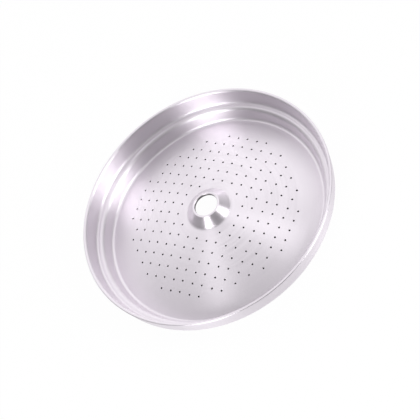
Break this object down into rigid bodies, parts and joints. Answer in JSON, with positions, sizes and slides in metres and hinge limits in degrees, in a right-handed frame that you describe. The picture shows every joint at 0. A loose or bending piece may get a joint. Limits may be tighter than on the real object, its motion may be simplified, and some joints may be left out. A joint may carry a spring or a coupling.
{
  "type": "coffee machine sieve",
  "caption": "Domed stainless shower sieve of an espresso machine's brewing group: a stepped pan with a flared rim, a pierced floor and a countersunk screw collar.",
  "frame": {"origin": "On the axis of the sieve, level with the underside of the foot ring that the sieve stands on when its open side faces up.", "axes": "Z is the axis of the sieve and of its screw hole, and points to the open side with the rim. X and Y run along the straight rows of jets."},
  "size_m": [0.0608, 0.0608, 0.0078],
  "materials": {
    "stainless": "brushed"
  },
  "bodies": {
    "root": {"shower_sieve": "stainless"}
  },
  "joints": []
}
